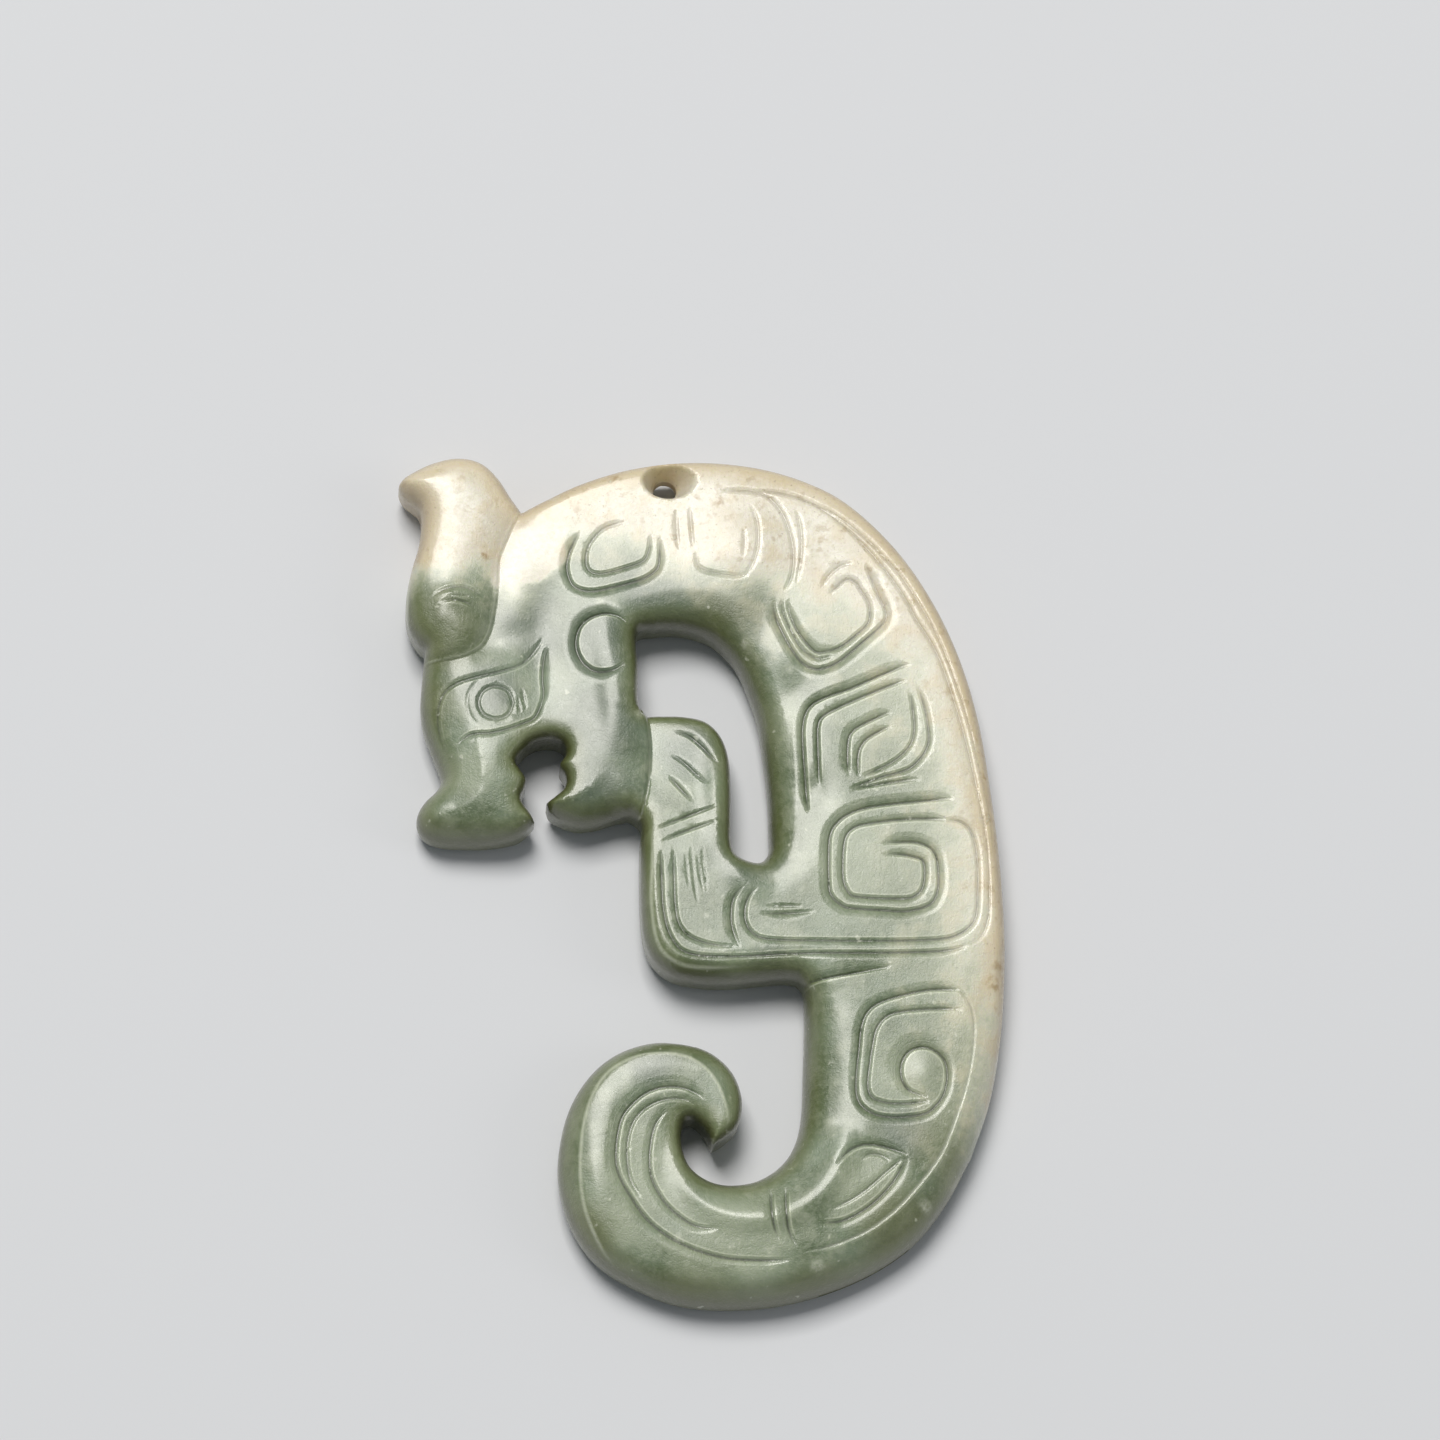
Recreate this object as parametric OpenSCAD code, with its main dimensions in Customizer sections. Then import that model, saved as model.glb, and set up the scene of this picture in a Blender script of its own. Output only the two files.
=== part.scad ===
// Flat pendant carved from one slab of jade as a coiled dragon, lying on its plain back.
//
// The outline is drawn in millimetres on the carved face, with x to the right and y towards
// the crown of the back. Each table is a run of points along one edge, clockwise, and a smooth
// curve passes through them. Each run starts where the one before it ends.

/* [Pendant] */
// Height of the carving from the crown down to the foot of the tail
pendant_h = 73.7; // [60:0.1:90]
// Thickness of the slab at the horn, its thickest place
slab_t = 7.0; // [6:0.1:9]
// Width of the bevel along the edges of the carved face
bevel_w = 0.9; // [0.6:0.1:1.2]
// Width of the bevel along the edges of the back
back_bevel_w = 0.6; // [0.3:0.1:1]

/* [Relief] */
// How far the horn stands above the carved face
horn_rise = 0.5; // [0.2:0.1:0.8]
// How far the round ear stands above the carved face
ear_rise = 0.3; // [0.1:0.1:0.5]
// Radius of the round ear
ear_r = 2.3; // [1.8:0.1:2.6]
// Thickness left at the blunt end of the snout
snout_t = 5.4; // [4.5:0.1:6.5]
// Thickness left at the upper end of the foreleg, under the jaw
foreleg_t = 5.3; // [4.5:0.1:6.5]

/* [Suspension hole] */
// Diameter of the drilled waist of the hole
waist_d = 2.0; // [1.6:0.1:2.2]
// Length of the straight waist between its two countersinks
waist_len = 2.2; // [1.5:0.1:3]
// Height of the middle of the waist above the back
waist_z = 3.2; // [2.8:0.1:3.6]
// Diameter of the countersink where it opens on the carved face
front_d = 3.8; // [3.4:0.1:4]
// Diameter of the countersink where it opens on the back
back_d = 3.4; // [3:0.1:3.6]

/* [Hidden] */

// Length of one facet along a curved edge
facet_l = 2.4;

// The horn, from the notch above the snout, round its forward lobe, to the notch on the crown
horn_edge = [
    [-25.3, 5.5], [-26.0, 6.2], [-26.7, 7.4], [-27.0, 9.0], [-26.9, 10.9], [-26.5, 12.9],
    [-26.0, 14.8], [-25.8, 16.8], [-26.0, 18.1], [-26.7, 18.8], [-27.4, 19.4], [-27.8, 20.3],
    [-27.4, 21.0], [-26.5, 21.6], [-25.1, 22.3], [-23.2, 22.8], [-21.6, 22.7], [-20.3, 22.1],
    [-19.1, 20.8], [-18.1, 19.2], [-17.2, 18.0]
];
// The crown, the back and the outside of the tail, round to its tip
back_edge = [
    [-17.2, 18.0], [-15.1, 19.1], [-12.2, 20.6], [-8.3, 22.0], [-4.0, 22.8], [0.0, 22.9],
    [3.9, 22.4], [7.5, 21.3], [10.6, 19.7], [13.7, 17.0], [16.5, 13.6], [19.0, 9.3],
    [20.9, 4.6], [22.2, -0.4], [23.0, -5.6], [23.7, -11.6], [24.1, -17.6], [24.1, -22.6],
    [23.7, -28.1], [22.8, -33.1], [21.2, -37.8], [18.9, -42.0], [16.1, -45.4], [12.0, -48.1],
    [7.0, -50.0], [2.0, -50.8], [-3.0, -50.6], [-7.0, -49.2], [-10.3, -47.1], [-12.4, -44.1],
    [-13.4, -40.7], [-13.4, -37.5], [-12.6, -34.2], [-11.0, -31.5], [-8.8, -29.6],
    [-6.0, -28.6], [-3.2, -28.6], [-0.8, -29.4], [1.0, -31.1], [1.8, -33.4], [1.5, -35.6],
    [0.4, -36.8], [-0.7, -37.5]
];
// The inside of the curled tail, then up the belly to the foreleg
curl_edge = [
    [-0.7, -37.5], [-1.2, -36.3], [-2.2, -35.3], [-3.0, -35.4], [-3.3, -36.4], [-3.2, -37.8],
    [-2.5, -39.3], [-1.0, -40.3], [0.8, -40.6], [3.0, -40.2], [4.9, -39.0], [6.2, -37.2],
    [6.9, -34.6], [7.1, -30.4], [7.2, -26.4], [7.1, -23.8], [6.5, -22.9]
];
// The foreleg, along its underside and up its front to the jaw
foreleg_edge = [
    [6.5, -22.9], [5.3, -22.8], [3.4, -23.0], [0.5, -23.3], [-2.0, -23.2], [-4.1, -22.7],
    [-5.6, -21.5], [-6.4, -19.8], [-6.7, -17.6], [-6.8, -14.6], [-6.8, -11.6], [-6.7, -10.0],
    [-7.0, -9.2], [-7.8, -8.7]
];
// The chin and the lower lip
jaw_edge = [
    [-7.8, -8.7], [-9.0, -9.0], [-10.5, -9.5], [-12.0, -9.7], [-13.5, -9.3], [-14.5, -8.7],
    [-14.8, -8.0]
];
// The open mouth, in at the lower lip, round its roof and out at the upper lip
mouth_edge = [
    [-14.8, -8.0], [-14.0, -7.4], [-13.3, -6.7], [-13.2, -5.7], [-13.7, -4.7], [-13.2, -3.7],
    [-13.4, -2.8], [-14.2, -2.4], [-15.2, -2.4], [-16.2, -2.8], [-16.9, -3.5], [-17.5, -4.4],
    [-17.1, -5.1], [-16.6, -5.9], [-16.7, -6.7], [-17.0, -7.5], [-16.7, -8.2],
    [-16.2, -8.8], [-15.8, -9.5]
];
// The blunt snout and up the brow to the horn
snout_edge = [
    [-15.8, -9.5], [-16.3, -10.1], [-17.2, -10.8], [-18.8, -11.2], [-21.0, -11.4],
    [-23.6, -11.3], [-25.0, -10.8], [-25.7, -9.8], [-25.7, -8.7], [-25.1, -7.6], [-24.3, -6.8],
    [-23.8, -6.0], [-23.9, -5.1], [-24.7, -3.0], [-25.3, -1.3], [-25.6, 0.7], [-25.5, 3.1],
    [-25.3, 5.5]
];
// The long opening between the head, the foreleg and the back
opening_edge = [
    [-7.2, 7.3], [-5.6, 7.9], [-3.4, 8.0], [-1.4, 7.5], [0.0, 6.6], [1.4, 5.0], [2.4, 2.8],
    [3.2, 0.3], [3.7, -2.9], [4.1, -6.4], [4.2, -9.4], [4.2, -11.5], [3.5, -12.6],
    [2.4, -12.6], [1.3, -12.1], [0.9, -11.0], [0.9, -9.0], [0.9, -6.0], [0.7, -3.3],
    [0.0, -1.4], [-1.3, -0.2], [-3.2, 0.2], [-5.2, 0.2], [-6.7, 0.2], [-7.1, 1.2], [-7.1, 4.2]
];
// The border on the face where the horn steps down to the cheek, from the crown to the brow
horn_border = [
    [-17.2, 18.0], [-18.0, 16.5], [-18.6, 15.0], [-19.2, 13.3], [-19.3, 11.0], [-19.5, 9.0],
    [-19.9, 6.9], [-20.6, 5.5], [-21.8, 4.7], [-23.4, 4.3], [-25.6, 4.2], [-30.0, 4.2]
];
// The thin points at the horn's lobe, the lips and the tail's tip, where the bevels die away,
// how much of their width is left there, and how far from there they are whole again
thin_at = [[-27.8, 20.2], [-14.7, -8.3], [-13.6, -4.7], [-16.0, -9.2], [-0.1, -37.2]];
thin_share = 0.3;
thin_reach = 2;

ear_at = [-10.2, 6.0];
hole_at = [-4.8, 20.6];
// The snout thins towards its end from snout_y down to snout_end_y, left of snout_side_x
snout_y = -3.0;
snout_end_y = -11.4;
snout_side_x = -15.4;
// The foreleg thins upwards from foreleg_y to foreleg_end_y, between the step down from the
// jaw at foreleg_side_x and the long opening
foreleg_y = -12.8;
foreleg_end_y = 0.2;
foreleg_side_x = -6.9;
foreleg_open_x = 2.0;
// How far past that end the bevel of the opening still follows the slope
foreleg_past = 1;

face_t = slab_t - horn_rise;
// How far a cut starts outside the material, and how far a bevel does above and beside it
over = 2;
bevel_over = 0.15;
bevel_out = 0.4;
far = 60;

// A point on the smooth curve from b to c, where a and d are the points before and after
function between(a, b, c, d, t) =
    (2 * b + (c - a) * t + (2 * a - 5 * b + 4 * c - d) * t * t
     + (3 * b - a - 3 * c + d) * t * t * t) / 2;

// The part of the smooth curve from b to c, in facets, without the point c
function span(a, b, c, d) =
    let (n = max(1, round(norm(c - b) / facet_l)))
    [for (k = [0:n - 1]) between(a, b, c, d, k / n)];

// The smooth curve through a table, without its last point, where the next table starts
function smooth(p) = [
    for (i = [0:len(p) - 2])
        let (
            before = i == 0 ? 2 * p[0] - p[1] : p[i - 1],
            after = i == len(p) - 2 ? 2 * p[i + 1] - p[i] : p[i + 2]
        )
        each span(before, p[i], p[i + 1], after)
];

// The smooth curve through a table whose ends meet
function smooth_loop(p) =
    let (n = len(p))
    [for (i = [0:n - 1]) each span(p[(i + n - 1) % n], p[i], p[(i + 1) % n], p[(i + 2) % n])];

horn_outline = smooth(horn_edge);
body_outline = concat(
    smooth(back_edge), smooth(curl_edge), smooth(foreleg_edge),
    smooth(jaw_edge), smooth(mouth_edge), smooth(snout_edge)
);
outline = concat(horn_outline, body_outline);
opening = smooth_loop(opening_edge);
low = [min([for (p = outline) p.x]), min([for (p = outline) p.y])];
high = [max([for (p = outline) p.x]), max([for (p = outline) p.y])];
middle = (low + high) / 2;
drawn_to_real = pendant_h / (high.y - low.y);

// A drawn point at its real place, with the origin in the middle of the outline
function placed(p) = (p - middle) * drawn_to_real;
function all_placed(points) = [for (p = points) placed(p)];

// Height of the carved face at a drawn point, off the horn
function face_height(p) =
    p.x < snout_side_x && p.y < snout_y
        ? face_t - (face_t - snout_t) * (p.y - snout_y) / (snout_end_y - snout_y)
    : p.x > foreleg_side_x && p.x < foreleg_open_x && p.y > foreleg_y && p.y < foreleg_end_y + foreleg_past
        ? face_t - (face_t - foreleg_t) * (p.y - foreleg_y) / (foreleg_end_y - foreleg_y)
    : face_t;

// How much of the whole bevel there is at a drawn point
function bevel_share(p) =
    min([for (t = thin_at) min(1, thin_share + (1 - thin_share) * norm(p - t) / thin_reach)]);

// The whole outline with its long opening, seen from the carved face
module profile() {
    difference() {
        polygon(all_placed(outline));
        polygon(all_placed(opening));
    }
}

// Everything above the carved face that isn't the horn
module beside_horn() {
    crown_end = horn_border[0];
    brow_end = horn_border[len(horn_border) - 1];
    translate([0, 0, face_t])
        linear_extrude(height = horn_rise + over)
            polygon(all_placed(concat(
                smooth(horn_border),
                [[-far, brow_end.y], [-far, -far], [far, -far], [far, far], [crown_end.x, far]]
            )));
}

// What is ground off between x1 and x2 as the face slopes down from y1 to end_t thick at y2
module ground_off(x1, x2, y1, y2, end_t) {
    from = placed([x1, y1]);
    to = placed([x2, y2]);
    past = over * sign(to.y - from.y);
    past_t = end_t - (face_t - end_t) * past / (to.y - from.y);
    translate([from.x, 0, 0])
        rotate([90, 0, 90])
            linear_extrude(height = to.x - from.x)
                polygon([
                    [from.y, face_t], [to.y + past, past_t],
                    [to.y + past, slab_t + over], [from.y, slab_t + over]
                ]);
}

// What is cut off an edge to bevel it, as a closed band of three-cornered sections, one in the
// middle of each facet. The points run round the edge with the material on their right,
// heights holds the face at each, w is the bevel's width, up is 1 on the face, -1 on the back
module bevel_cut(points, heights, w, up) {
    n = len(points);
    corners = [
        for (i = [0:n - 1])
            let (
                p = points[i],
                q = points[(i + 1) % n],
                inward = [q.y - p.y, p.x - q.x] / norm(q - p),
                reach = w * bevel_share((p + q) / 2)
            )
            for (c = [
                [reach + bevel_over, bevel_over],
                [-bevel_out, -reach - bevel_out],
                [-bevel_out, over]
            ])
                [each placed((p + q) / 2) + inward * c.x, heights[i] + up * c.y]
    ];
    polyhedron(
        points = corners,
        faces = [
            for (i = [0:n - 1], j = [0:2])
                let (
                    a = i * 3 + j,
                    b = i * 3 + (j + 1) % 3,
                    c = (i + 1) % n * 3 + (j + 1) % 3,
                    d = (i + 1) % n * 3 + j
                )
                each up > 0 ? [[a, c, b], [a, d, c]] : [[a, b, c], [a, c, d]]
        ]
    );
}

// The slab with its horn, its slopes and its beveled edges
module carving() {
    opening_back = [for (i = [len(opening) - 1:-1:0]) opening[i]];
    difference() {
        linear_extrude(height = slab_t) profile();
        beside_horn();
        ground_off(-far, snout_side_x, snout_y, snout_end_y, snout_t);
        ground_off(foreleg_side_x, foreleg_open_x, foreleg_y, foreleg_end_y, foreleg_t);
        bevel_cut(
            outline,
            concat([for (p = horn_outline) slab_t], [for (p = body_outline) face_height(p)]),
            bevel_w, 1
        );
        bevel_cut(opening_back, [for (p = opening_back) face_height(p)], bevel_w, 1);
        bevel_cut(outline, [for (p = outline) 0], back_bevel_w, -1);
        bevel_cut(opening_back, [for (p = opening_back) 0], back_bevel_w, -1);
    }
}

// The round ear, with its edge broken
module ear() {
    translate([placed(ear_at).x, placed(ear_at).y, face_t - over]) {
        cylinder(r = ear_r, h = over, $fn = 48);
        translate([0, 0, over])
            cylinder(r1 = ear_r, r2 = ear_r - ear_rise, h = ear_rise, $fn = 48);
    }
}

// The cord hole, drilled from both sides to a straight waist
module suspension_hole() {
    waist_low = waist_z - waist_len / 2;
    waist_high = waist_z + waist_len / 2;
    translate([placed(hole_at).x, placed(hole_at).y, 0]) {
        translate([0, 0, -over]) cylinder(d = waist_d, h = slab_t + 2 * over, $fn = 48);
        translate([0, 0, waist_high])
            cylinder(d1 = waist_d, d2 = front_d, h = face_t - waist_high, $fn = 48);
        translate([0, 0, face_t]) cylinder(d = front_d, h = over, $fn = 48);
        cylinder(d1 = back_d, d2 = waist_d, h = waist_low, $fn = 48);
        translate([0, 0, -over]) cylinder(d = back_d, h = over, $fn = 48);
    }
}

module dragon_pendant() {
    color("#93a58e")
        difference() {
            union() {
                carving();
                ear();
            }
            suspension_hole();
        }
}

dragon_pendant();
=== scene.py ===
import bpy
import numpy as np
from mathutils import Matrix, Vector
from mathutils.geometry import delaunay_2d_cdt


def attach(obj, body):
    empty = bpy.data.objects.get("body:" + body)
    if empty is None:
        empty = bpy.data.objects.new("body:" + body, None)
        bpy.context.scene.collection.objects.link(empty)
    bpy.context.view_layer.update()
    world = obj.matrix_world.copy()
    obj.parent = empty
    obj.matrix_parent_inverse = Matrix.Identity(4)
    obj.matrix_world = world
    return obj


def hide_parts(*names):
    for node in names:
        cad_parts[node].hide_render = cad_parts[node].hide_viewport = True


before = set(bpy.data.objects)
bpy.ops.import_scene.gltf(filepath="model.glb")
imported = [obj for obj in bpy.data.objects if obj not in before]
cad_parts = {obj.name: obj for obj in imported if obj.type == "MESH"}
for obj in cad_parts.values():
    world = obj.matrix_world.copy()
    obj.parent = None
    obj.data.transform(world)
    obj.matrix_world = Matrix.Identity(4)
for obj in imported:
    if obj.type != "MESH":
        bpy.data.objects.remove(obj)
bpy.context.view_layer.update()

# The outline of the carving. The real piece is sawn from one slab of nephrite, and its outline and
# long opening are cut right through. Each table is one run of the edge, drawn in millimetres on
# the carved face, clockwise, and is the same run as the solid's.

mm = 0.001
horn_edge = [
    (-25.3, 5.5), (-26.0, 6.2), (-26.7, 7.4), (-27.0, 9.0), (-26.9, 10.9), (-26.5, 12.9),
    (-26.0, 14.8), (-25.8, 16.8), (-26.0, 18.1), (-26.7, 18.8), (-27.4, 19.4), (-27.8, 20.3),
    (-27.4, 21.0), (-26.5, 21.6), (-25.1, 22.3), (-23.2, 22.8), (-21.6, 22.7), (-20.3, 22.1),
    (-19.1, 20.8), (-18.1, 19.2), (-17.2, 18.0)]
back_edge = [
    (-17.2, 18.0), (-15.1, 19.1), (-12.2, 20.6), (-8.3, 22.0), (-4.0, 22.8), (0.0, 22.9),
    (3.9, 22.4), (7.5, 21.3), (10.6, 19.7), (13.7, 17.0), (16.5, 13.6), (19.0, 9.3), (20.9, 4.6),
    (22.2, -0.4), (23.0, -5.6), (23.7, -11.6), (24.1, -17.6), (24.1, -22.6), (23.7, -28.1),
    (22.8, -33.1), (21.2, -37.8)]
tail_edge = [
    (21.2, -37.8), (18.9, -42.0), (16.1, -45.4), (12.0, -48.1), (7.0, -50.0), (2.0, -50.8),
    (-3.0, -50.6), (-7.0, -49.2), (-10.3, -47.1), (-12.4, -44.1), (-13.4, -40.7), (-13.4, -37.5),
    (-12.6, -34.2), (-11.0, -31.5), (-8.8, -29.6), (-6.0, -28.6), (-3.2, -28.6), (-0.8, -29.4),
    (1.0, -31.1), (1.8, -33.4), (1.5, -35.6), (0.4, -36.8), (-0.7, -37.5)]
curl_edge = [
    (-0.7, -37.5), (-1.2, -36.3), (-2.2, -35.3), (-3.0, -35.4), (-3.3, -36.4), (-3.2, -37.8),
    (-2.5, -39.3), (-1.0, -40.3), (0.8, -40.6), (3.0, -40.2), (4.9, -39.0), (6.2, -37.2),
    (6.9, -34.6), (7.1, -30.4), (7.2, -26.4), (7.1, -23.8), (6.5, -22.9)]
foreleg_edge = [
    (6.5, -22.9), (5.3, -22.8), (3.4, -23.0), (0.5, -23.3), (-2.0, -23.2), (-4.1, -22.7),
    (-5.6, -21.5), (-6.4, -19.8), (-6.7, -17.6), (-6.8, -14.6), (-6.8, -11.6), (-6.7, -10.0),
    (-7.0, -9.2), (-7.8, -8.7)]
jaw_edge = [
    (-7.8, -8.7), (-9.0, -9.0), (-10.5, -9.5), (-12.0, -9.7), (-13.5, -9.3), (-14.5, -8.7),
    (-14.8, -8.0)]
mouth_edge = [
    (-14.8, -8.0), (-14.0, -7.4), (-13.3, -6.7), (-13.2, -5.7), (-13.7, -4.7), (-13.2, -3.7),
    (-13.4, -2.8), (-14.2, -2.4), (-15.2, -2.4), (-16.2, -2.8), (-16.9, -3.5), (-17.5, -4.4),
    (-17.1, -5.1), (-16.6, -5.9), (-16.7, -6.7), (-17.0, -7.5), (-16.7, -8.2), (-16.2, -8.8),
    (-15.8, -9.5)]
snout_edge = [
    (-15.8, -9.5), (-16.3, -10.1), (-17.2, -10.8), (-18.8, -11.2), (-21.0, -11.4), (-23.6, -11.3),
    (-25.0, -10.8), (-25.7, -9.8), (-25.7, -8.7), (-25.1, -7.6), (-24.3, -6.8), (-23.8, -6.0),
    (-23.9, -5.1), (-24.7, -3.0), (-25.3, -1.3), (-25.6, 0.7), (-25.5, 3.1), (-25.3, 5.5)]
opening_edge = [
    (-7.2, 7.3), (-5.6, 7.9), (-3.4, 8.0), (-1.4, 7.5), (0.0, 6.6), (1.4, 5.0), (2.4, 2.8),
    (3.2, 0.3), (3.7, -2.9), (4.1, -6.4), (4.2, -9.4), (4.2, -11.5), (3.5, -12.6), (2.4, -12.6),
    (1.3, -12.1), (0.9, -11.0), (0.9, -9.0), (0.9, -6.0), (0.7, -3.3), (0.0, -1.4), (-1.3, -0.2),
    (-3.2, 0.2), (-5.2, 0.2), (-6.7, 0.2), (-7.1, 1.2), (-7.1, 4.2)]

# How each run of the edge is rounded, at places along it: the share of its length, the radius of
# the rim, and the width and depth of the soft shoulder inside the rim, in millimetres
edge_form = {
    "horn": (horn_edge, [
        (0.0, 1.4, 4.0, 0.8), (0.4, 1.4, 3.2, 0.6), (0.55, 1.7, 3.0, 0.7), (1.0, 1.0, 3.0, 0.5)]),
    "back": (back_edge, [
        (0.0, 1.0, 2.2, 0.2), (0.2, 1.3, 3.0, 0.35), (0.7, 1.2, 2.6, 0.3), (1.0, 1.7, 4.6, 0.9)]),
    "tail": (tail_edge, [
        (0.0, 1.7, 4.6, 0.9), (0.2, 2.1, 5.4, 1.4), (0.4, 2.1, 4.8, 1.3), (0.6, 1.7, 3.6, 0.8),
        (0.85, 1.4, 2.6, 0.4), (1.0, 0.8, 1.2, 0.3)]),
    "curl": (curl_edge, [
        (0.0, 0.8, 1.2, 0.3), (0.2, 1.2, 3.6, 0.7), (0.35, 1.5, 4.6, 1.1), (0.7, 2.0, 6.0, 1.3),
        (0.95, 1.8, 4.0, 0.9), (1.0, 1.4, 2.6, 0.5)]),
    "foreleg": (foreleg_edge, [
        (0.0, 1.4, 2.2, 0.4), (0.15, 1.8, 2.4, 0.5), (0.5, 1.3, 2.2, 0.4), (1.0, 0.9, 1.4, 0.3)]),
    "jaw": (jaw_edge, [(0.0, 1.3, 3.4, 0.8), (0.3, 1.8, 4.2, 1.1), (1.0, 1.0, 2.4, 0.5)]),
    "mouth": (mouth_edge, [(0.0, 0.8, 1.8, 0.3), (1.0, 0.8, 1.8, 0.3)]),
    "snout": (snout_edge, [
        (0.0, 0.9, 2.0, 0.4), (0.2, 1.8, 3.6, 0.8), (0.4, 1.7, 3.8, 0.9), (0.7, 1.7, 5.0, 1.3),
        (1.0, 1.4, 4.0, 0.9)]),
    "opening": (opening_edge, [
        (0.0, 1.1, 2.6, 0.5), (0.1, 1.7, 3.4, 0.7), (0.2, 1.9, 5.0, 1.1), (0.42, 2.0, 6.0, 1.2),
        (0.5, 1.6, 3.6, 0.7), (0.6, 1.3, 2.0, 0.3), (0.8, 1.0, 1.8, 0.3), (0.9, 0.8, 1.2, 0.2),
        (0.93, 1.1, 2.6, 0.6), (1.0, 1.1, 2.4, 0.5)]),
}
# How many times as tall as its radius a rim is, and how far apart the points of the edge are
rim_tall = 1.45
edge_step = 0.24


def curve(table, step, closed=False):
    """Points about a step apart on the smooth curve through a table. Between points b and c, with a
    and d beyond them, it is the cubic through b and c whose slopes there are half of c - a and
    half of d - b. A finely cut curve is then walked in equal steps of its length."""
    p = np.array(table, float)
    if closed:
        a, b, c, d = np.roll(p, 1, 0), p, np.roll(p, -1, 0), np.roll(p, -2, 0)
    else:
        q = np.vstack([2 * p[0] - p[1], p, 2 * p[-1] - p[-2]])
        a, b, c, d = q[:-3], q[1:-2], q[2:-1], q[3:]
    t = np.linspace(0, 1, 33)[None, :-1, None]
    a, b, c, d = (v[:, None, :] for v in (a, b, c, d))
    square, cube = (2 * a - 5 * b + 4 * c - d) * t**2, (3 * b - a - 3 * c + d) * t**3
    fine = (2 * b + (c - a) * t + square + cube) / 2
    fine = np.vstack([fine.reshape(-1, p.shape[1]), p[:1] if closed else p[-1:]])
    run = np.concatenate([[0], np.cumsum(np.linalg.norm(np.diff(fine[:, :2], axis=0), axis=1))])
    n = max(2, int(round(run[-1] / step)))
    at = np.linspace(0, run[-1], n + 1)
    out = np.stack([np.interp(at, run, fine[:, k]) for k in range(p.shape[1])], 1)
    return out[:-1] if closed else out


def edge_run(name, closed=False):
    """One run of the edge as points, without its last, and the rim's form at each of them, which is
    interpolated along the run between the places of its table."""
    table, form = edge_form[name]
    p = curve(table, edge_step, closed)
    share = np.linspace(0, 1, len(p) + (1 if closed else 0))[:len(p)]
    form = np.array(form)
    shape = np.stack([np.interp(share, form[:, 0], form[:, k]) for k in (1, 2, 3)], 1)
    return (p, shape) if closed else (p[:-1], shape[:-1])


def soften(values, reach):
    """Values round a closed edge, each the mean of its neighbours up to a number of points away."""
    return np.mean([np.roll(values, k, 0) for k in range(-reach, reach + 1)], 0)


runs = [edge_run(name) for name in edge_form if name != "opening"]
drawn = np.concatenate([p for p, form in runs])
outline_form = soften(np.concatenate([form for p, form in runs]), 5)
opening, opening_form = edge_run("opening", True)
opening_form = soften(opening_form, 12)

# The drawing is moved and scaled so that its box is the solid's, in millimetres across and up
solid_box = np.array([51.9016, 73.7])
drawn_low, drawn_high = drawn.min(0), drawn.max(0)
grow = solid_box / (drawn_high - drawn_low)
middle = (drawn_low + drawn_high) / 2


def placed(p):
    """Drawn points at their real place: less the middle of the drawing, times its growth."""
    return (np.asarray(p, float) - middle) * grow


outline, opening = placed(drawn), placed(opening)

# The camera of the photograph, worked out from the outline: it leans 17 degrees down from square on
# to the carved face and 3.5 degrees to its left, 480 mm away. Marks on the face are given where
# the picture shows them, in its pixels, and are carried back onto the face by the same camera.

picture = 1440
lean, aside = np.radians(17.0), np.radians(3.5)
distance, pixels_per_mm = 480.0, 11.7
aim = np.append(placed((0.0, 0.0)), 3.5)
toward = np.array([-np.sin(aside), -np.cos(aside) * np.sin(lean), np.cos(aside) * np.cos(lean)])
upward = np.array([0.0, 1.0, 0.0]) - toward[1] * toward
upward /= np.linalg.norm(upward)
rightward = np.cross(upward, toward)
face_z = 6.3


def on_face(pixels, z=face_z):
    """Where the face is seen at a pixel: the camera's ray through it, cut at a height of z. Columns
    past the second are kept as they are."""
    pixels = np.atleast_2d(np.asarray(pixels, float))
    across = (pixels[:, 0] - picture / 2) / (pixels_per_mm * distance)
    up = (picture / 2 - pixels[:, 1]) / (pixels_per_mm * distance)
    ray = across[:, None] * rightward + up[:, None] * upward - toward
    eye = aim + distance * toward
    reach = (z - eye[2]) / ray[:, 2]
    return np.hstack([(eye + reach[:, None] * ray)[:, :2], pixels[:, 2:]])


def nearest(points, line, closed=False):
    """For each point: its distance from a line, the place along the line that is nearest, as a
    number of points, and its side, 1 on the left of the line's run and -1 on the right. Each link
    of the line is tried, and the foot of the perpendicular on it is held between its ends."""
    a = line if closed else line[:-1]
    ab = (np.roll(line, -1, 0) if closed else line[1:]) - a
    length2 = (ab**2).sum(1)
    far, place, side = (np.empty(len(points)) for k in range(3))
    for start in range(0, len(points), 3000):
        part = slice(start, start + 3000)
        ap = points[part, None, :] - a[None]
        t = np.clip((ap * ab).sum(2) / length2, 0, 1)
        gap2 = ((ap - t[..., None] * ab)**2).sum(2)
        best = gap2.argmin(1)
        row = np.arange(len(best))
        far[part] = np.sqrt(gap2[row, best])
        place[part] = best + t[row, best]
        turn = ab[best, 0] * ap[row, best, 1] - ab[best, 1] * ap[row, best, 0]
        side[part] = np.where(turn >= 0, 1, -1)
    return far, place, side


def step(low, high, x):
    """0 below low, 1 above high and a smooth s-curve, 3t squared less 2t cubed, between."""
    t = np.clip((x - low) / (high - low), 0, 1)
    return t * t * (3 - 2 * t)


# The carved face. The real one is ground with slanted cuts: each line has one steep wall and one
# gentle facet. The horn stands proud of the cheek, the snout thins forwards, and the foreleg is
# sunk beside the jaw.

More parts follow.
